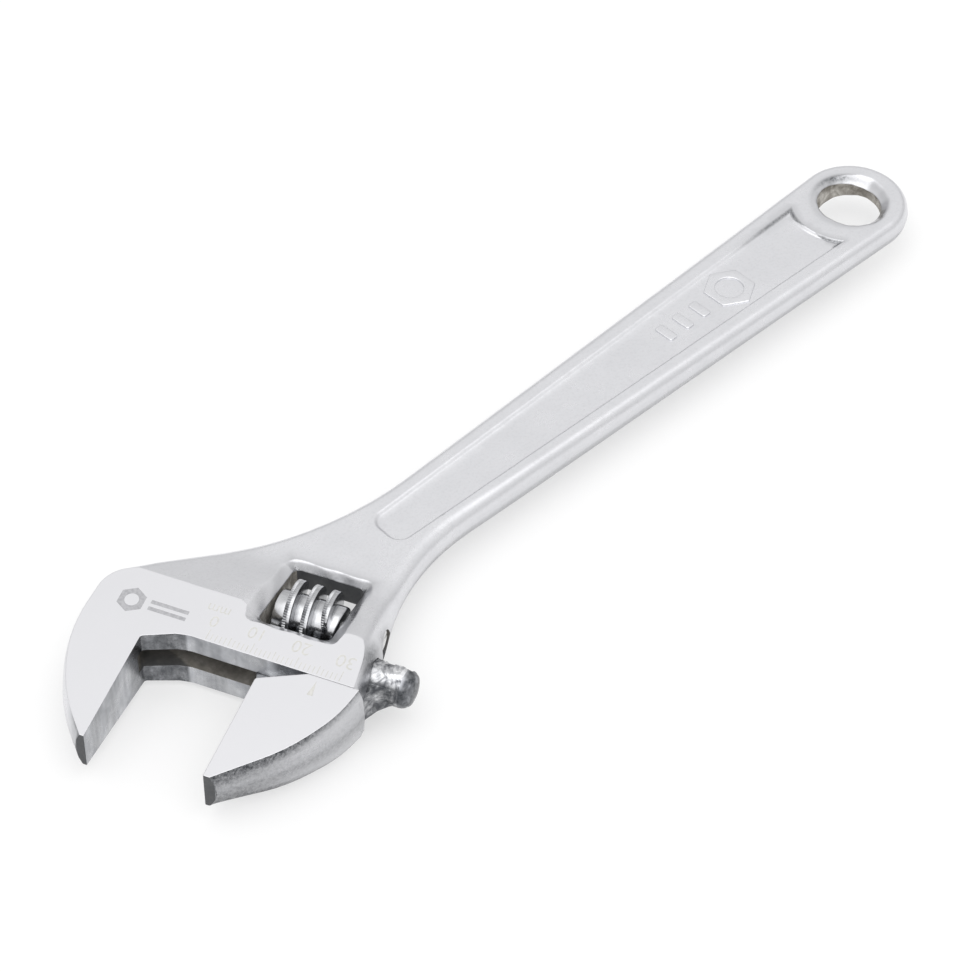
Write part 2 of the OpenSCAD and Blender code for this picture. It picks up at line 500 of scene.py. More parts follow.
def store_tarnish_and_shade(obj, amount):
    """Stores how dirty the plating is at each vertex, with painted shade added in some places, for
    the material to read.
    """
    at = np.array([v.co for v in obj.data.vertices])
    values = np.clip(amount(at), 0, 1).astype(np.float32)
    obj.data.attributes.new("tarnish_and_shade", "FLOAT", "POINT").data.foreach_set("value", values)


def place(obj, matrix, body, slot, *nodes):
    moved(obj, matrix)
    obj.data.update()
    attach(obj, body)
    if nodes:
        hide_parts(*nodes)


# ---------------- the forged body

# corners of the head's outline, as [u, w, radius]
MOUTH_SIDE = [[FIXED_U, -JAW_REACH, 0.12], [FIXED_U, -3.6, 0.8], [-6.4, -0.6, 0.8]]
MOUTH_SIDE += [[-4.6, -0.2, 1], [-3.2, 0, 1], [35.2, 0, 0.3]]
RIGHT_SIDE = [[33.5, 12.8, 24], [28.5, 40.6, 56]]
LEFT_SIDE = [[11.2, 44.8, 78], [-19.4, 17.4, 15], [-27.8, 8.9, 10.7]]
LEFT_SIDE += [[-28.7, -7.4, 34], [-22.6, -22, 40]]
TIP = [-15, -JAW_REACH, 0.8]


def on_handle(corners):
    radii = np.array([c[2] for c in corners])[:, None]
    return np.hstack([turned(np.array(corners, float)[:, :2], HEAD_TO_HANDLE), radii]).tolist()


def eye_arc():
    start = math.radians(EYE_FROM)
    angles = np.linspace(start, 2 * math.pi - start, 73)
    return [[EYE_X + EYE_R * math.cos(t), EYE_R * math.sin(t), 0] for t in angles]


def body_outline():
    corners = on_handle(MOUTH_SIDE + RIGHT_SIDE) + eye_arc() + on_handle(LEFT_SIDE + [TIP])
    return without_repeats(rounded(corners))


def forged_edge():
    """The forging's own edge, before the mouth and the tip are cut: it runs on past both."""
    start, end = [35.86, -5, 0], [-10.24, -35.5, 0]
    corners = on_handle([start] + RIGHT_SIDE) + eye_arc() + on_handle(LEFT_SIDE + [end])
    return densified(rounded(corners, closed=False), 1.1, closed=False)


def panel_outline():
    """The sunk panel, ending in an arc round the hanging hole."""
    wide, narrow = PANEL_HALF_W
    reach = math.acos(wide / PANEL_END_R)
    arc = np.linspace(math.pi / 2 - reach, reach - math.pi / 2, 25)
    ends = [[PANEL_END_R * math.cos(t), PANEL_END_R * math.sin(t), 0] for t in arc]
    return rounded(ends + [[PANEL_END_X, y, PANEL_CORNER] for y in (-narrow, narrow)])


FORGED_EDGE = forged_edge()
PANEL = panel_outline()
WINDOW_ON_HEAD = rounded_rectangle(WINDOW, WINDOW_R)


def edge_reach(points):
    """How far in the forging's edge is rounded."""
    x, y = points.T
    reach = EYE_EDGE + (HANDLE_EDGE - EYE_EDGE) * step(x / 40)
    reach += (HEAD_EDGE - HANDLE_EDGE) * step((x - 150) / 40)
    return reach + NECK_EDGE * step((x - 110) / 50) * step(y / 4)


def sheer(w):
    """Half thickness of the head's forged blank."""
    return smooth_min(RIDGE_T - BACK_FALL * (w - RIDGE_W), face_height(w) + GRINDING, 0.8)


def body_height(points):
    head = turned(points, HANDLE_TO_HEAD)
    u, w = head[:, 0], head[:, 1]
    x = points[:, 0]
    handle = EYE_HALF_T + (NECK_HALF_T - EYE_HALF_T) * np.clip(x / NECK_X, 0, 1)
    full = smooth_max(sheer(w), handle, 1.2)
    full += 0.035 * ripple(points, 9, 1) + 0.02 * ripple(points, 3.5, 2)
    share = np.clip(1 - distance(points, FORGED_EDGE, False) / edge_reach(points), 0, 1)
    z = full - EDGE_SHARE * full * (1 - np.sqrt(1 - share * share))
    return sink_panel(flare_hole(flare_window(z, u, w), points), points)


def flare_window(z, u, w):
    low_u, high_u, low_w, high_w = WINDOW
    r = WINDOW_R
    out_u = np.maximum(np.maximum(low_u + r - u, u - high_u + r), 0)
    out_w = np.maximum(np.maximum(low_w + r - w, w - high_w + r), 0)
    out = (out_u**4 + out_w**4) ** 0.25 - r
    base = WINDOW_EDGE_T - WINDOW_EDGE_FALL * (np.clip(w, low_w, high_w) - low_w)
    wander = 0.12 * np.sin(0.9 * u + 0.7 * w)
    slope = 0.88 + 0.4 * step((w - high_w + 2) / 3)
    return smooth_min(z, base + slope * np.maximum(out, 0) + wander * np.clip(out, 0, 1), 0.3)


def flare_hole(z, points):
    r = np.hypot(points[:, 0], points[:, 1])
    turn = np.arctan2(points[:, 1], points[:, 0])
    uneven = 0.14 * np.sin(3 * turn + 0.6) + 0.1 * np.sin(7 * turn) + 0.06 * np.sin(17 * turn)
    closed = 0.5 - 0.5 * np.cos(turn - HOLE_WIDEST)
    foot = 1.2 + 1.7 * closed + 0.6 * uneven
    return smooth_min(z, foot + (r - HOLE_R) * (0.98 + 0.3 * uneven), 0.4)


def sink_panel(z, points):
    deep = distance(points, PANEL) * np.where(inside(points, [PANEL]), 1, -1)
    wander = 0.06 * ripple(points, 2.2, 5)
    wall = PANEL_WALL - 0.3 * np.tanh(points[:, 1] / 3)
    return z - PANEL_DEPTH * step((deep + wander) / wall)


def body_wall_kind(window, hole):
    def kind(points):
        out = np.full(len(points), CUT)
        out[distance(points, FORGED_EDGE, False) < 0.06] = FORGED
        head = turned(points, HANDLE_TO_HEAD)
        out[head[:, 1] < 0.03 - JAW_REACH] = BORE
        in_window = distance(points, window) < 0.1
        out[in_window] = BORE
        out[in_window & (head[:, 0] < WINDOW[0] + 0.5)] = ROUGH
        out[distance(points, hole) < 0.1] = ROUGH
        return out

    return kind


def edge_rows(reach):
    """Distances across the edge's rounding, closer together where it is steep."""
    angles = np.linspace(0, math.pi / 2, EDGE_STEPS + 1)[1:]
    return [reach * (1 - math.cos(t)) for t in angles]


def draft_of(at, line):
    """Outward push of the walls' middle, along the forged edge only."""
    normal = inward(line, False)
    out = np.zeros_like(at)
    for i in np.where(distance(at, line, False) < 0.05)[0]:
        k = int(((line - at[i]) ** 2).sum(1).argmin())
        out[i] = -DRAFT * normal[k]
    return out


def forged_blank():
    outline = densified(body_outline(), 1.1)
    window = densified(turned(WINDOW_ON_HEAD, HEAD_TO_HANDLE), 0.5)
    turns = np.linspace(0, 2 * math.pi, 97)[:-1]
    hole = np.array([[HOLE_R * math.cos(t), HOLE_R * math.sin(t)] for t in turns])
    reach = edge_reach(FORGED_EDGE)
    wall = [share * PANEL_WALL for share in (-0.15, 0, 0.2, 0.4, 0.6, 0.8, 1, 1.2)]
    rows = [
        rings(FORGED_EDGE, [*edge_rows(reach), reach * 1.2], closed=False),
        rings(window, [-0.22 * k for k in range(1, 14)]),
        rings(hole, [-0.25 * k for k in range(1, 11)]),
        rings(densified(PANEL, 0.9), wall),
    ]
    feature = spaced(np.concatenate(rows), np.zeros((0, 2)), 0.09)
    fill = spaced(hex_grid(outline.min(0), outline.max(0), 1.5), feature, 0.9)
    at, faces = triangulated([outline, window, hole], np.concatenate([feature, fill]))
    draft = draft_of(at, FORGED_EDGE)
    bm = two_sided(at, faces, body_height(at), body_wall_kind(window, hole), draft)
    ground_flat(bm, HEAD_TO_HANDLE)
    return new_object("forged_body", bm)


def along_u(obj, w):
    """A lathed piece put on the axis at that w."""
    return moved(obj, Matrix.Translation((0, w, 0)))


def jaw_way_cutter(metals):
    """The keyhole way: a bore for the jaw's shank and a slot for its web."""
    stop = SHANK_U[0] - CLOSED_TRAVEL - 0.4
    r = SHANK_R + SLIP
    out = stop + 70
    profile = [(stop, 0), (stop, r - 0.6), (stop + 0.6, r), (out, r), (out, 0)]
    bore = painted(along_u(lathe("way", profile, BORE), SHANK_W), metals)
    foot = [(stop, SHANK_W), (stop, 4.4), (stop + 3, 0), (stop + 5.4, -5.6)]
    outline = foot + [(60, -5.6), (60, SHANK_W)]
    slot = painted(prism("slot", outline, -WEB_T - SLIP, WEB_T + SLIP, BORE), metals)
    return boolean(bore, slot, "UNION")


def pin_hole_cutters(metals):
    """The pin's stepped hole, wide where its head sits."""
    small = cylinder("small", 2.4, 29, BORE_R, BORE, 64)
    large = cylinder("large", PIN_HEAD_U[0], 48, PIN_HEAD_R + 0.05, BORE, 64)
    return [painted(along_u(hole, WORM_W), metals) for hole in (small, large)]


def below_ground_edge(at, reach):
    """Close to 1 on the forged side just below the edge of a ground face."""
    gap = face_height(at[:, 1]) - np.abs(at[:, 2])
    return np.where(at[:, 1] < RIDGE_W - 1, np.exp(-((gap / reach) ** 2)), 0)


def near(value, middle, reach):
    """1 at the middle, falling off to both sides."""
    return np.exp(-(((value - middle) / reach) ** 2))


def panel_tarnish(x, y):
    """Scale caught at the end of the panel near the hanging hole and along its far wall."""
    flat = np.stack([x, y], 1)
    wall = near(distance(flat, PANEL) * np.where(inside(flat, [PANEL]), 1, -1), 0.45, 0.5)
    along = (y < -5) * (0.8 - 0.8 * step((x - 18) / 18))
    return wall * np.where(x < PANEL_END_R + 0.1, 0.85, along)


def hole_tarnish(x, y):
    r, turn = np.hypot(x, y), np.arctan2(y, x)
    top = near(np.sin((turn + 2.0) / 2), 0, 0.3)
    return near(r, HOLE_R + 1.1, 0.9) * (0.2 + 0.75 * top) + 0.35 * (r < HOLE_R + 0.05)


def past_window(u, w):
    """How far outside the window's sides a point lies."""
    low_u, high_u, low_w, high_w = WINDOW
    out_u = np.maximum(low_u - u, u - high_u)
    return np.maximum(out_u, np.maximum(low_w - w, w - high_w))


def window_tarnish(u, w):
    flare = past_window(u, w)
    far = 0.16 + 0.3 * (w > WINDOW[3] - 1)
    return far * np.exp(-((np.maximum(flare, 0) / 1.7) ** 2)) * (flare > -0.1)


def mouth_tarnish(u, w):
    """Dark in the throat's back corner, with one clean facet, then an even grey."""
    throat = (w > -4.2) & (u < 35)
    corner = 1 - step((u + 4.6) / 0.6)
    tone = np.where(throat, 0.85 * corner + 0.2 * step((u + 1.7) / 0.6), 0)
    return tone + (u < FIXED_U + 0.1) * (0.8 * near(w, -3.6, 3) + 0.2 * step((-w - 18) / 10))


def bore_rim_tarnish(u, w):
    """Torn, unplated metal where the jaw's way and the pin's hole break out of the side."""
    way = 0.9 * near(w, SHANK_W, SHANK_R + 1.2)
    pin = 0.9 * near(w, WORM_W, PIN_HEAD_R + 0.4)
    return (u > 30) * np.maximum(way, pin) * step((u - 31) / 2)


def body_tarnish_and_shade(at):
    u, w, z = at.T
    x, y = turned(at[:, :2], HEAD_TO_HANDLE).T
    in_mouth = (w < 0.4) & (w > -JAW_REACH + 0.1) & (u > FIXED_U - 0.1) & (u < 35.3)
    tip = step((-w - JAW_REACH + 7) / 7)
    total = panel_tarnish(x, y) + hole_tarnish(x, y) + window_tarnish(u, w)
    # Near the tip: mottled scale, and a painted dark reflection in a band just below the ground
    # face's edge.
    total += bore_rim_tarnish(u, w) + (0.3 + 0.6 * below_ground_edge(at, 0.8)) * tip
    edge = distance(np.stack([x, y], 1), FORGED_EDGE, False)
    # Painted shade: along the forged edge, darker toward the lower side.
    total += 0.5 * step((1.2 - z) / 3.6) * (edge < 2.6)
    total = np.where((past_window(u, w) < 0.1) | (w < 0.1 - JAW_REACH), 1, total)
    return np.where(in_mouth, mouth_tarnish(u, w), total)


def make_body(metals):
    blank = painted(moved(forged_blank(), HANDLE_TO_HEAD), metals)
    for cutter in [jaw_way_cutter(metals), *pin_hole_cutters(metals)]:
        boolean(blank, cutter, "DIFFERENCE")
    crisp(blank)
    store_tarnish_and_shade(blank, body_tarnish_and_shade)
    place(blank, HEAD, "body", "forging", "body")


# ---------------- the movable jaw

JAW_FORGED_SIDE = [[OPEN_U + 14, -19.2, 40], [OPEN_U + 20.6, -8, 30]]


def jaw_outline():
    corners = [
        [OPEN_U, -JAW_REACH, 0.12],
        [OPEN_U + 2.6, -JAW_REACH, 0.8],
        *JAW_FORGED_SIDE,
        [OPEN_U + 22.2, -SLIP, 0.3],
        [OPEN_U + 9.8, -SLIP, 1],
        [OPEN_U, -4.9, 0.8],
    ]
    return without_repeats(rounded(corners))


def jaw_edge():
    """The forging's own edge, which runs on past the tip and the shoulder."""
    corners = [[OPEN_U - 1.82, -34.6, 0], *JAW_FORGED_SIDE, [OPEN_U + 23.23, 5, 0]]
    return densified(rounded(corners, closed=False), 0.9, closed=False)


def jaw_height(points, line):
    full = face_height(points[:, 1]) + GRINDING + 0.03 * ripple(points, 7, 8)
    share = np.clip(1 - distance(points, line, False) / HEAD_EDGE, 0, 1)
    return full - EDGE_SHARE * full * (1 - np.sqrt(1 - share * share))


def jaw_blank():
    line = jaw_edge()
    outline = densified(jaw_outline(), 0.9)
    feature = rings(line, edge_rows(HEAD_EDGE), closed=False)
    fill = spaced(hex_grid(outline.min(0), outline.max(0), 1.6), feature, 0.9)
    at, faces = triangulated([outline], np.concatenate([feature, fill]))

    def kind(points):
        out = np.where(distance(points, line, False) < 0.06, FORGED, CUT)
        out[points[:, 1] < 0.03 - JAW_REACH] = BORE
        return out

    bm = two_sided(at, faces, jaw_height(at, line), kind, draft_of(at, line))
    ground_flat(bm, Matrix.Identity(4))
    return new_object("movable_jaw", bm)


def shank(metals):
    """The round rod, domed at its end, with gaps for the worm's thread."""
    low, high = SHANK_U
    r = SHANK_R
    angles = np.linspace(0, math.pi / 2, 9)[::-1]
    dome = [(high - 0.9 * (1 - math.cos(t)), (r - 0.75) * math.sin(t)) for t in angles]
    profile = [(low, 0), (low, r - 0.5), (low + 0.15, r - 0.15), (low + 0.5, r)]
    profile += [(high - 2.6, r), (high - 1.9, r - 0.12), (high - 1.3, r - 0.38), *dome]
    rod = painted(along_u(lathe("shank", profile, ROUGH), SHANK_W), metals)
    for f in rod.data.polygons:
        if f.center.x > high - 2.5:
            f.material_index = CUT
    half = THREAD_HALF + RACK_CLEAR_U
    lead = math.atan(PITCH / (2 * math.pi * WORM_R))
    for i in RACK_GAPS:
        cut = cylinder("gap", -half, half, WORM_R + RACK_CLEAR_R, ROUGH, 128)
        moved(cut, Matrix.Rotation(-lead, 4, "Y"))
        moved(cut, Matrix.Translation((CREST_U + i * PITCH, WORM_W, 0)))
        boolean(rod, painted(cut, metals), "DIFFERENCE")
    return rod


def web(metals):
    """The flat web that joins the jaw's block to its shank."""
    low, high = SHANK_U
    corners = [[OPEN_U + 1, -9, 0], [OPEN_U, -8, 0.5], [OPEN_U, -5.4, 1], [low + 3, 0, 3]]
    corners += [[low, 4.6, 3], [low, SHANK_W, 0], [high - 2.2, SHANK_W, 0], [high - 2.4, 7.2, 1.2]]
    corners += [[OPEN_U + 25, 5.8, 2.4], [OPEN_U + 23.3, 3.8, 2], [OPEN_U + 21.9, 0.8, 1]]
    corners += [[OPEN_U + 20.6, -4, 0], [OPEN_U + 16, -9, 0]]
    return painted(prism("web", rounded(corners), -WEB_T, WEB_T, ROUGH), metals)


def jaw_tarnish_and_shade(at):
    u, w, z = at.T
    toward_tip = step((-w - 4) / 26)
    # Painted dark reflection in a band just below the ground face's edge, wider toward the tip.
    side = (0.55 + 0.45 * toward_tip) * below_ground_edge(at, 0.8 + 1.5 * toward_tip)
    # An even speckled scale over the side, with painted shade in a band a little below its middle.
    side += 0.29 + 0.1 * toward_tip + 0.3 * near(z, -0.5, 1.6)
    # Painted shade in the crease under the shank, above the web.
    shank_crease_shade = near(w, SHANK_W - SHANK_R, 1.3) * (u > OPEN_U + 18)
    web_edge = 0.5 * near(np.abs(z), WEB_T, 0.4) * (u > OPEN_U + 21)
    end = u > SHANK_U[1] - 2.2
    greasy = (u < 34) & (w > 5)
    side = np.where(w < 0.1 - JAW_REACH, 1, side)
    return np.where(w > 0.3, shank_crease_shade + web_edge + end + greasy, side)


def round_lower_tip(obj):
    """The underside narrows toward the jaw's tip, away from its face."""
    for v in obj.data.vertices:
        u, w, z = v.co
        if z < 0:
            toward_tip = float(step(np.array((-w - 20) / 10)))
            clear = float(step(np.array((u - OPEN_U - 0.4) / 2)))
            v.co.x -= 0.7 * (z / 4.7) ** 2 * toward_tip * clear
    return obj


def make_jaw(metals):
    jaw = painted(round_lower_tip(jaw_blank()), metals)
    boolean(jaw, boolean(shank(metals), web(metals), "UNION"), "UNION")
    crisp(jaw)
    store_tarnish_and_shade(jaw, jaw_tarnish_and_shade)
    place(jaw, HEAD, "jaw", "jaw", "jaw")


# ---------------- worm, pin and spring

THREAD_TURNS = (10.3, 20.3)
BEADS = 88
BEAD_DEPTH = 0.25
THREAD_ROOT_R = 4.6


def thread_section():
    """(along u, radius, share of the knurl) of the ridge, from flank to flank."""
    h = THREAD_HALF
    rise = [(h + 0.25, THREAD_ROOT_R), (h + 0.16, HUB_R + 0.1), (h + 0.05, WORM_R - 0.5)]
    rise += [(h, WORM_R - 0.14), (h - 0.05, WORM_R - 0.04), (h - 0.14, WORM_R)]
    knurled = [(-a, r, 1.0 if r > WORM_R - 0.2 else 0.0) for a, r in rise]
    crest = [(-0.2, WORM_R, 1.0), (0.02, WORM_R, 0.8), (0.08, WORM_R, 0.0)]
    return knurled + crest + [(a, r, 0.0) for a, r in rise[::-1]]


def helix_ridge():
    """The thread, grown out of the hub at both ends, with half of its crest knurled."""
    section = thread_section()
    per_turn = 4 * BEADS
    low, high = THREAD_TURNS
    count = int((high - low) / PITCH * per_turn)
    root = THREAD_ROOT_R
    rows = []
    for i in range(count + 1):
        u = low + (high - low) * i / count
        turn = 2 * math.pi * (u - CREST_U) / PITCH + math.pi
        ends = min(i, count - i) / (per_turn * 0.16)
        grown = math.sin(min(1, ends) * math.pi / 2)
        bead = (0.0, 0.5, 1.0, 0.5)[i % 4]
        row = []
        for a, r, k in section:
            radius = root + (r - root) * grown - BEAD_DEPTH * k * bead * grown
            y, z = radius * math.cos(turn), radius * math.sin(turn)
            row.append((u + a * (0.4 + 0.6 * grown), y, z))
        rows.append(row)
    return swept("ridge", rows)


def worm_shade_and_darkening(at):
    """Painted shade in the grooves of the knurl, and a darker tone along the foot of the thread; the
    axis is at 0, 0.
    """
    u, y, z = at.T
    r, turn = np.hypot(y, z), np.arctan2(z, y)
    along = (u - CREST_U) / PITCH - (turn - math.pi) / (2 * math.pi)
    across = PITCH * (along - np.round(along))
    start = 2 * math.pi * (THREAD_TURNS[0] - CREST_U) / PITCH + math.pi
    groove = 0.5 - 0.5 * np.cos(BEADS * (turn - start))
    # Painted shade in the knurl's grooves.
    knurl = 0.42 * groove * (across < 0.1) * (r > WORM_R - 0.8)
    return knurl + 0.6 * (r > HUB_R + 0.04) * (r < HUB_R + 0.2)


def make_worm(metals):
    low, high = HUB_U
    r = HUB_R
    profile = [(low, POCKET_R + 0.1), (low, r - 0.45), (low + 0.13, r - 0.13), (low + 0.45, r)]
    profile += [(high - 0.7, r), (high - 0.3, r - 0.12), (high - 0.08, r - 0.4), (high, r - 0.8)]
    profile += [(high, BORE_R + 0.2), (high - 0.2, BORE_R), (low + POCKET_L, BORE_R)]
    profile += [(low + POCKET_L, POCKET_R), (low + 0.1, POCKET_R)]
    worm = painted(lathe("worm_screw", profile, FORGED), metals)
    boolean(worm, painted(helix_ridge(), metals), "UNION")
    crisp(worm, 40)
    store_tarnish_and_shade(worm, worm_shade_and_darkening)
    along_u(worm, WORM_W)
    place(worm, HEAD, "worm", "worm", "worm")


def make_pin(metals):
    r, head = PIN_R, PIN_HEAD_R
    low, high = PIN_HEAD_U
    profile = [(2.6, 0), (2.6, r - 0.4), (3.0, r), (low, r), (low, head - 0.1), (low + 0.1, head)]
    profile += [(high - 0.5, head), (high - 0.15, head - 0.15), (high, head - 0.5), (high, 0)]
    pin = lathe("worm_pin", profile, FORGED)
    slot = prism("driver_slot", rectangle(high - 1.1, high + 3, -5, 5), -0.5, 0.5, FORGED)
    boolean(pin, slot, "DIFFERENCE")
    painted(pin, metals)
    crisp(pin)
    along_u(pin, WORM_W)
    place(pin, HEAD, "body", "pin", "pin")


def make_spring(metals):
    """A round wire in five turns, closed up at both ends."""
    wire, coil, turns = 0.4, 2.95, 5
    low = WINDOW[0] + wire + 0.02
    high = HUB_U[0] + POCKET_L - wire - 0.05
    per_turn, sides = 60, 14
    count = turns * per_turn
    rise = np.interp(np.arange(count + 1) / count, [0, 0.15, 0.85, 1], [0, 0.1, 0.9, 1])
    rows = []
    for i in range(count + 1):
        t = 2 * math.pi * i / per_turn
        u = low + (high - low) * rise[i]
        row = []
        for k in range(sides):
            a = 2 * math.pi * k / sides
            r = coil + wire * math.cos(a)
            row.append((u + wire * math.sin(a), r * math.cos(t), r * math.sin(t)))
        rows.append(row)
    spring = painted(swept("worm_spring", rows), metals)
    crisp(spring, 50)
    along_u(spring, WORM_W)
    place(spring, HEAD, "body", "spring", "spring")


# ---------------- markings

TICK_FOOT = 0.45
TICK_HALF_W = 0.1
TICK_TEN, TICK_FIVE, TICK_ONE = 2.5, 2.1, 1.6
SCALE_NUMBERS = [("0", -0.15, 6.4, 2.9), ("10", 9.5, 6.7, 3)]
SCALE_NUMBERS += [("20", 19.5, 6.8, 3.1), ("30", 29.5, 6.8, 3.2)]
SCALE_UNIT = [("mm", -0.5, 9.1, 2.5)]
FONT_SIZE = 1.38
BADGE_AT = (-18.7, 4.1)
EMBLEM_AT = (41.5, 0)
EMBLEM_DEPTH = -0.3
EMBLEM_RELIEF = 0.32


def on_face(obj):
    """Lays flat millimetre drawing (u, w, 0) on the upper ground face of the head."""
    for v in obj.data.vertices:
        v.co.z += face_height(v.co.y) + MARK_UP
    return obj


def scale_ticks():
    bm = bmesh.new()
    for i in range(31):
        length = TICK_TEN if i % 10 == 0 else TICK_FIVE if i % 5 == 0 else TICK_ONE
        plate(bm, rectangle(i - TICK_HALF_W, i + TICK_HALF_W, TICK_FOOT, TICK_FOOT + length))
    return closed_object("scale_ticks", bm)


def lettering(name, words):
    """Scale figures, each as (text, middle u, foot w, height), read from the handle's side."""
    bm = bmesh.new()
    for text, u, w, height in words:
        curve = bpy.data.curves.new(name, "FONT")
        curve.body = text
        curve.align_x = "CENTER"
        curve.extrude = MARK_DEPTH / 2
        curve.resolution_u = 6
        curve.size = FONT_SIZE * height
        curve.offset = -0.012
        font = linked(name, curve)
        mesh = evaluated_mesh(font)
        bpy.data.objects.remove(font)
        mesh.transform(Matrix.Translation((u, w, -MARK_DEPTH / 2)) @ Matrix.Rotation(math.pi, 4, "Z"))
        bm.from_mesh(mesh)
        bpy.data.meshes.remove(mesh)
    bmesh.ops.remove_doubles(bm, verts=bm.verts, dist=1e-5)
    return closed_object(name, bm)


def regular(sides, radius, u, w, turn=0.0):
    angles = [turn + 2 * math.pi * k / sides for k in range(sides)]
    return [(u + radius * math.cos(t), w + radius * math.sin(t)) for t in angles]


def holed_plate(bm, outer, inner, low, high):
    """A flat plate with one hole: both outlines have the same number of points."""
    lines = ((outer, low), (outer, high), (inner, high), (inner, low))
    rows = [[bm.verts.new((x, y, z)) for x, y in line] for line, z in lines]
    for a, b in zip(rows, rows[1:] + rows[:1]):
        strip(bm, a, b)


def nut(bm, at, size, hole, count, low=-MARK_DEPTH, high=0.0):
    """A hexagon with a round hole, both in about count steps."""
    u, w = at
    corners = np.array(regular(6, size, u, w, math.pi / 6))
    outer = densified(corners, size / (count / 6) * 1.0001)
    first = math.atan2(outer[0][1] - w, outer[0][0] - u)
    holed_plate(bm, outer, regular(len(outer), hole, u, w, first), low, high)


def head_badge():
    """A plain nut outline and two bars."""
    bm = bmesh.new()
    nut(bm, BADGE_AT, 3.2, 1.55, 48)
    for w in (2.9, 4.6):
        plate(bm, rectangle(-14.6, -6.0, w, w + 0.9))
    return closed_object("head_badge", bm)


def index_mark():
    bm = bmesh.new()
    plate(bm, [(25.8, -1.2), (25.15, -4.9), (26.45, -4.9)])
    return closed_object("index_mark", bm)


def panel_emblem():
    """A raised nut outline and three bars on the handle's sunk panel, with rounded edges."""
    bm = bmesh.new()
    nut(bm, EMBLEM_AT, 6.2, 3.3, 72, EMBLEM_DEPTH, EMBLEM_RELIEF)
    for x in (51.5, 57.0, 62.5):
        bar = rounded_rectangle((x - 1.2, x + 1.2, -2.6, 2.6), 0.6)
        plate(bm, bar, EMBLEM_DEPTH, EMBLEM_RELIEF)
    obj = closed_object("panel_emblem", bm)
    bevel = obj.modifiers.new("soft", "BEVEL")
    bevel.width = 0.18
    bevel.segments = 4
    bevel.limit_method = "ANGLE"
    bake_modifiers(obj)
    for v in obj.data.vertices:
        v.co.z += EYE_HALF_T + (NECK_HALF_T - EYE_HALF_T) * v.co.x / NECK_X - PANEL_DEPTH
    return obj


def make_marks(ink, dark_ink, forged):
    ticks = scale_ticks()
    numbers = lettering("scale_numbers", SCALE_NUMBERS)
    for obj in (ticks, numbers, lettering("scale_unit", SCALE_UNIT)):
        place(painted(on_face(obj), [ink]), HEAD, "body", "marking")
    place(painted(on_face(head_badge()), [dark_ink]), HEAD, "body", "marking")
    place(painted(on_face(index_mark()), [ink]), HEAD, "jaw", "marking")
    emblem = painted(panel_emblem(), [forged])
    crisp(emblem, 50)
    place(emblem, HANDLE, "body", "forging")


# ---------------- materials


def nodes_of(name):
    material = bpy.data.materials.new(name)
    material.use_nodes = True
    tree = material.node_tree
    tree.nodes.clear()
    return material, tree


def set_inputs(tree, n, values, links):
    """Sets inputs of a node to values, and links others to what other nodes put out."""
    for name, value in values.items():
        n.inputs[name].default_value = value
    for name, source in links.items():
        tree.links.new(source, n.inputs[name])


def make_noise(tree, scale, detail, rough=0.5, distortion=0.0, stretch=None):
    source = tree.nodes.new("ShaderNodeTexCoord").outputs["Object"]
    if stretch:
        mapping = tree.nodes.new("ShaderNodeMapping")
        set_inputs(tree, mapping, {"Scale": stretch}, {"Vector": source})
        source = mapping.outputs["Vector"]
    n = tree.nodes.new("ShaderNodeTexNoise")
    values = {"Scale": scale, "Detail": detail, "Roughness": rough, "Distortion": distortion}
    set_inputs(tree, n, values, {"Vector": source})
    return n.outputs["Fac"]


def ramp(tree, source, stops):
    """Stops are (position, grey or colour)."""
    n = tree.nodes.new("ShaderNodeValToRGB")
    while len(n.color_ramp.elements) < len(stops):
        n.color_ramp.elements.new(0.5)
    for element, (at, value) in zip(n.color_ramp.elements, stops):
        element.position = at
        colour = value if isinstance(value, tuple) else (value,) * 3
        element.color = (*colour, 1)
    tree.links.new(source, n.inputs["Fac"])
    return n.outputs["Color"]


def multiplied(tree, a, b, share=1.0):
    n = tree.nodes.new("ShaderNodeMix")
    n.data_type = "RGBA"
    n.blend_type = "MULTIPLY"
    set_inputs(tree, n, {"Factor": share}, {"A": a, "B": b})
    return n.outputs["Result"]


def mixed(tree, factor, a, b):
    n = tree.nodes.new("ShaderNodeMix")
    n.data_type = "RGBA"
    set_inputs(tree, n, {"B": (*b, 1)}, {"Factor": factor, "A": a})
    return n.outputs["Result"]


def bumped(tree, heights, bevel=0.0):
    """A chain of bumps: each height is (source, strength, distance in mm)."""
    links = {}
    if bevel:
        n = tree.nodes.new("ShaderNodeBevel")
        n.samples = 6
        n.inputs["Radius"].default_value = bevel * MM
        links = {"Normal": n.outputs["Normal"]}
    for source, strength, reach in heights:
        n = tree.nodes.new("ShaderNodeBump")
        values = {"Strength": strength, "Distance": reach * MM}
        set_inputs(tree, n, values, {"Height": source, **links})
        links = {"Normal": n.outputs["Normal"]}
    return n.outputs["Normal"]


def shader(tree, colour, rough, normal, metallic=1.0):
    n = tree.nodes.new("ShaderNodeBsdfPrincipled")
    out = tree.nodes.new("ShaderNodeOutputMaterial")
    links = {"Base Color": colour, "Roughness": rough, "Normal": normal}
    set_inputs(tree, n, {"Metallic": metallic}, links)
    tree.links.new(n.outputs["BSDF"], out.inputs["Surface"])


def tarnish_and_shade(tree, colour, fineness=1100, least=0.45, tarnish_and_shade_tone=(0.06, 0.064, 0.07)):
    """Darkens a colour, in broken patches, where the mesh says that the plating is dirty and where it
    holds painted shade.
    """
    amount = tree.nodes.new("ShaderNodeAttribute")
    amount.attribute_name = "tarnish_and_shade"
    patches = ramp(tree, make_noise(tree, fineness, 6, 0.75, 0.3), [(0.36, least), (0.6, 1.0)])
    factor = multiplied(tree, amount.outputs["Color"], patches)
    return mixed(tree, factor, colour, tarnish_and_shade_tone)


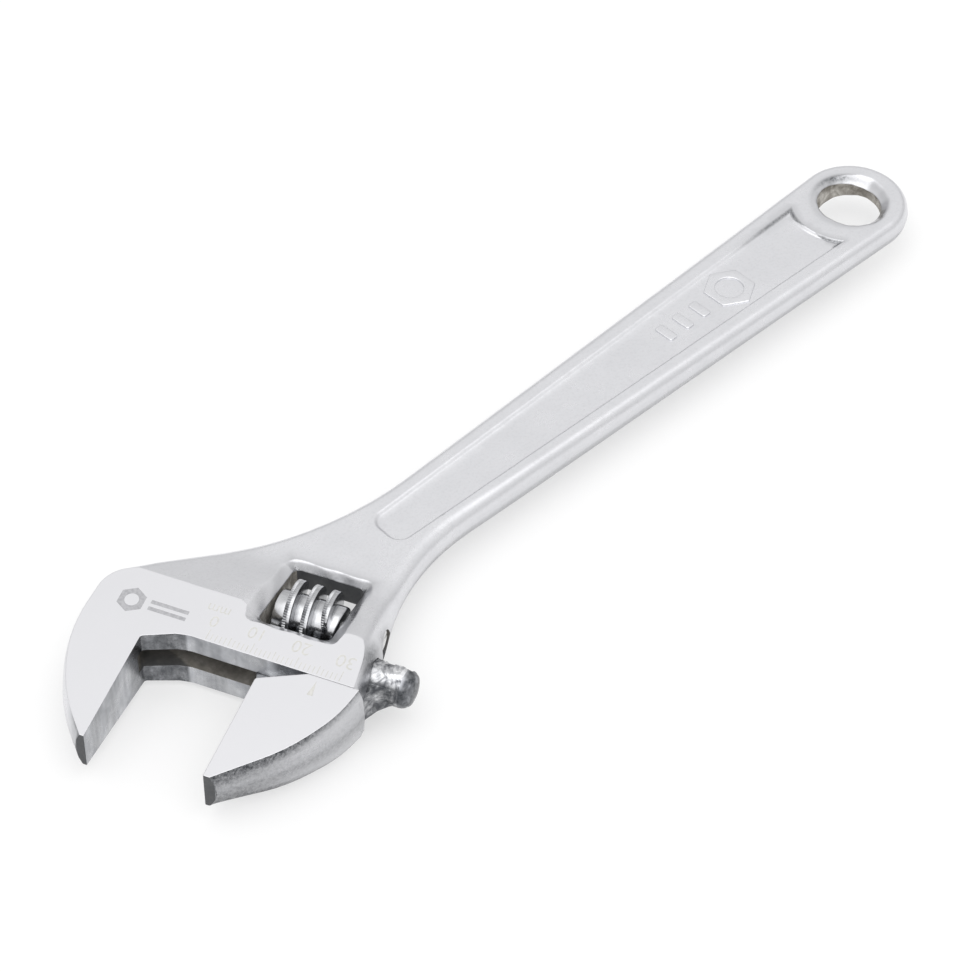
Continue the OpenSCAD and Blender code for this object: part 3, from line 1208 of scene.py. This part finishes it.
def satin_forging():
    """Satin chrome over a shot-blasted forging: fine grain and faint clouds."""
    material, tree = nodes_of("satin_forging")
    grain = make_noise(tree, 2600, 3, 0.65)
    clouds = make_noise(tree, 110, 5, 0.65)
    speckle = ramp(tree, make_noise(tree, 1500, 4, 0.7), [(0.3, 0.86), (0.52, 1.0)])
    tone = ramp(tree, clouds, [(0.3, (0.69, 0.693, 0.715)), (0.7, (0.74, 0.742, 0.765))])
    colour = tarnish_and_shade(tree, multiplied(tree, tone, speckle, 0.5), 1500, 0.58)
    rough = ramp(tree, clouds, [(0.3, 0.33), (0.7, 0.25)])
    normal = bumped(tree, [(make_noise(tree, 420, 3, 0.6), 0.25, 0.08), (grain, 0.25, 0.04)], 0.25)
    shader(tree, colour, rough, normal)
    return material


def ground_chrome():
    """A finely ground face under chrome: nearly flat, with faint brush lines."""
    material, tree = nodes_of("ground_chrome")
    fine = make_noise(tree, 1800, 2, 0.5)
    clouds = make_noise(tree, 60, 3, 0.5)
    colour = ramp(tree, clouds, [(0.3, (0.68, 0.68, 0.7)), (0.7, (0.71, 0.71, 0.73))])
    rough = ramp(tree, clouds, [(0.3, 0.34), (0.7, 0.29)])
    shader(tree, colour, rough, bumped(tree, [(fine, 0.12, 0.03)], 0.22))
    return material


def cut_metal():
    """Plated machined faces in the mouth: blue-grey, cloudy, with bands across them."""
    material, tree = nodes_of("cut_metal")
    clouds = make_noise(tree, 150, 5, 0.6, 0.4)
    bands = ramp(tree, make_noise(tree, 260, 3, 0.6, 0, (1, 1, 0.1)), [(0.34, 0.55), (0.6, 1.0)])
    tones = [(0.3, (0.36, 0.37, 0.395)), (0.5, (0.53, 0.54, 0.565)), (0.7, (0.68, 0.69, 0.71))]
    tone = ramp(tree, clouds, tones)
    colour = tarnish_and_shade(tree, multiplied(tree, tone, bands, 0.8), 420)
    rough = ramp(tree, clouds, [(0.3, 0.36), (0.7, 0.22)])
    shader(tree, colour, rough, bumped(tree, [(make_noise(tree, 900, 3, 0.6), 0.2, 0.05)], 0.2))
    return material


def bore_metal():
    """Machined inside faces that the plating hardly reaches: brown-grey, with fine tool lines."""
    material, tree = nodes_of("bore_metal")
    clouds = make_noise(tree, 210, 5, 0.65, 0.6)
    lines = ramp(tree, make_noise(tree, 300, 3, 0.6, 0, (1, 1, 9)), [(0.35, 0.6), (0.6, 1.0)])
    tones = [(0.3, (0.16, 0.148, 0.13)), (0.5, (0.22, 0.206, 0.184)), (0.7, (0.29, 0.277, 0.256))]
    tone = ramp(tree, clouds, tones)
    rough = ramp(tree, clouds, [(0.3, 0.55), (0.7, 0.38)])
    normal = bumped(tree, [(make_noise(tree, 800, 4, 0.6), 0.4, 0.08)], 0.2)
    colour = tarnish_and_shade(tree, multiplied(tree, tone, lines), 1100, 0.88, (0.042, 0.045, 0.05))
    shader(tree, colour, rough, normal, metallic=0.0)
    return material


def shank_metal():
    """The jaw's shank: glossy plating over a rough forging, worn through in dark patches."""
    material, tree = nodes_of("shank_metal")
    patches = make_noise(tree, 300, 6, 0.68, 0.8)
    tones = [(0.38, (0.12, 0.123, 0.135)), (0.49, (0.46, 0.465, 0.48)), (0.59, (0.86, 0.865, 0.88))]
    tone = ramp(tree, patches, tones)
    rough = ramp(tree, patches, [(0.3, 0.4), (0.6, 0.2)])
    lumps = (make_noise(tree, 240, 4, 0.6), 0.6, 0.25)
    normal = bumped(tree, [lumps, (make_noise(tree, 1300, 3, 0.6), 0.3, 0.05)], 0.3)
    shader(tree, tarnish_and_shade(tree, tone, 400), rough, normal)
    return material


def bare_casting():
    """Inside walls with almost no plating: warm brown-grey scale."""
    material, tree = nodes_of("bare_casting")
    clouds = make_noise(tree, 280, 5, 0.7, 0.5)
    tones = [(0.32, (0.13, 0.118, 0.1)), (0.5, (0.33, 0.31, 0.28)), (0.68, (0.62, 0.6, 0.56))]
    tone = ramp(tree, clouds, tones)
    rough = ramp(tree, clouds, [(0.3, 0.65), (0.7, 0.42)])
    normal = bumped(tree, [(make_noise(tree, 700, 4, 0.65), 0.6, 0.12)], 0.2)
    shader(tree, tone, rough, normal, metallic=0.5)
    return material


def bright_worm():
    """Turned steel under glossy plating."""
    material, tree = nodes_of("bright_worm")
    clouds = make_noise(tree, 260, 4, 0.6, 0.3)
    colour = ramp(tree, clouds, [(0.3, (0.40, 0.405, 0.42)), (0.6, (0.58, 0.585, 0.6))])
    rough = ramp(tree, clouds, [(0.3, 0.27), (0.7, 0.17)])
    normal = bumped(tree, [(make_noise(tree, 1400, 2, 0.5), 0.12, 0.03)], 0.03)
    shader(tree, tarnish_and_shade(tree, colour, 400, 0.9), rough, normal)
    return material


def dark_steel():
    """The pin."""
    material, tree = nodes_of("dark_steel")
    clouds = make_noise(tree, 300, 4, 0.6)
    colour = ramp(tree, clouds, [(0.3, (0.10, 0.10, 0.10)), (0.7, (0.26, 0.255, 0.25))])
    rough = ramp(tree, clouds, [(0.3, 0.45), (0.7, 0.32)])
    shader(tree, colour, rough, bumped(tree, [(make_noise(tree, 1200, 3, 0.6), 0.25, 0.05)], 0.12))
    return material


def spring_wire():
    material, tree = nodes_of("spring_wire")
    clouds = make_noise(tree, 500, 3, 0.5)
    colour = ramp(tree, clouds, [(0.3, (0.34, 0.34, 0.34)), (0.7, (0.5, 0.5, 0.5))])
    rough = ramp(tree, clouds, [(0.3, 0.35), (0.7, 0.25)])
    shader(tree, colour, rough, bumped(tree, [(clouds, 0.1, 0.03)]))
    return material


def etched(name, low, high):
    """A matt etched or printed marking with a slightly broken tone."""
    material, tree = nodes_of(name)
    clouds = make_noise(tree, 1500, 3, 0.6)
    colour = ramp(tree, clouds, [(0.35, low), (0.6, high)])
    rough = ramp(tree, clouds, [(0.3, 0.6), (0.7, 0.5)])
    shader(tree, colour, rough, bumped(tree, [(clouds, 0.1, 0.01)]), metallic=0.0)
    return material


# ---------------- camera, floor and light

CAMERA_AT = (235.009, -426.952, 569.526)
CAMERA_TURN = (2.34965, 0.46319, -0.17873)
LENS = 133.057
SOFTBOX = 2.1
CEILING = 0.98
WALL_NEAR = 0.8
WALL_SIDE = 0.8
WALL_FAR = 0.68
FLOOR_TONE = 0.42
FLOOR_GLOW = 0.5


def make_camera():
    """Its place and turn are given in the head's directions, in millimetres and radians."""
    turn = Vector(CAMERA_TURN)
    right, down, ahead = Matrix.Rotation(turn.length, 3, turn.normalized())
    head = HEAD.to_3x3() * (1 / MM)
    axes = [head @ right, head @ -down, head @ -ahead]
    camera = bpy.data.cameras.new("camera")
    camera.lens = LENS
    camera.sensor_width = 36
    camera.clip_start = 0.05
    camera.clip_end = 20
    obj = linked("camera", camera)
    matrix = Matrix(axes).transposed().to_4x4()
    matrix.translation = HEAD @ Vector(CAMERA_AT)
    obj.matrix_world = matrix
    bpy.context.scene.camera = obj
    return obj


def make_floor():
    bm = bmesh.new()
    bmesh.ops.create_grid(bm, x_segments=2, y_segments=2, size=4)
    floor = new_object("floor", bm)
    floor.location = (0, 0, -0.0005)
    material, tree = nodes_of("pale_floor")
    n = tree.nodes.new("ShaderNodeBsdfPrincipled")
    tone = {"Base Color": (FLOOR_TONE, FLOOR_TONE, FLOOR_TONE, 1)}
    matt = {"Roughness": 1.0, "Specular IOR Level": 0.0}
    glow = {"Emission Color": (1, 1, 1, 1), "Emission Strength": FLOOR_GLOW}
    set_inputs(tree, n, {**tone, **matt, **glow}, {})
    out = tree.nodes.new("ShaderNodeOutputMaterial")
    tree.links.new(n.outputs["BSDF"], out.inputs["Surface"])
    floor.data.materials.append(material)


def world_dot(tree, source, direction):
    n = tree.nodes.new("ShaderNodeVectorMath")
    n.operation = "DOT_PRODUCT"
    set_inputs(tree, n, {1: direction}, {0: source})
    return n.outputs["Value"]


def remapped(tree, source):
    """-1..1 to 0..1, for a colour ramp."""
    n = tree.nodes.new("ShaderNodeMath")
    n.operation = "MULTIPLY_ADD"
    set_inputs(tree, n, {1: 0.5, 2: 0.5}, {0: source})
    return n.outputs["Value"]


def make_light(camera):
    """A white room with grey walls, and a large softbox overhead, a little toward the camera."""
    at = camera.matrix_world.translation
    toward_camera = Vector((at.x, at.y, 0)).normalized()
    world = bpy.data.worlds.new("studio")
    bpy.context.scene.world = world
    world.use_nodes = True
    tree = world.node_tree
    direction = tree.nodes.new("ShaderNodeTexCoord").outputs["Generated"]
    up = Vector((0, 0, 1))
    toward = remapped(tree, world_dot(tree, direction, toward_camera))
    tones = [value / SOFTBOX for value in (WALL_FAR, WALL_SIDE, WALL_NEAR)]
    wall = ramp(tree, toward, list(zip((0.1, 0.5, 0.9), tones)))
    height = ramp(tree, remapped(tree, world_dot(tree, direction, up)), [(0.56, 0.0), (0.8, 1.0)])
    room = mixed(tree, height, wall, (CEILING / SOFTBOX,) * 3)
    overhead = (up + toward_camera * 0.3).normalized()
    box = remapped(tree, world_dot(tree, direction, overhead))
    light = mixed(tree, ramp(tree, box, [(0.85, 0.0), (0.95, 1.0)]), room, (1, 1, 1))
    tree.links.new(light, tree.nodes["Background"].inputs["Color"])
    tree.nodes["Background"].inputs["Strength"].default_value = SOFTBOX
    bpy.context.scene.view_settings.view_transform = "Standard"


def main():
    camera = make_camera()
    forged = satin_forging()
    ground = ground_chrome()
    cut = cut_metal()
    bore = bore_metal()
    make_body([forged, ground, cut, bore, bare_casting()])
    make_jaw([forged, ground, cut, bore, shank_metal()])
    make_worm([bright_worm()])
    make_pin([dark_steel()])
    make_spring([spring_wire()])
    make_marks(
        etched("scale_ink", (0.51, 0.505, 0.48), (0.59, 0.585, 0.56)),
        etched("badge_ink", (0.31, 0.31, 0.325), (0.4, 0.4, 0.415)),
        forged,
    )
    make_floor()
    make_light(camera)


main()
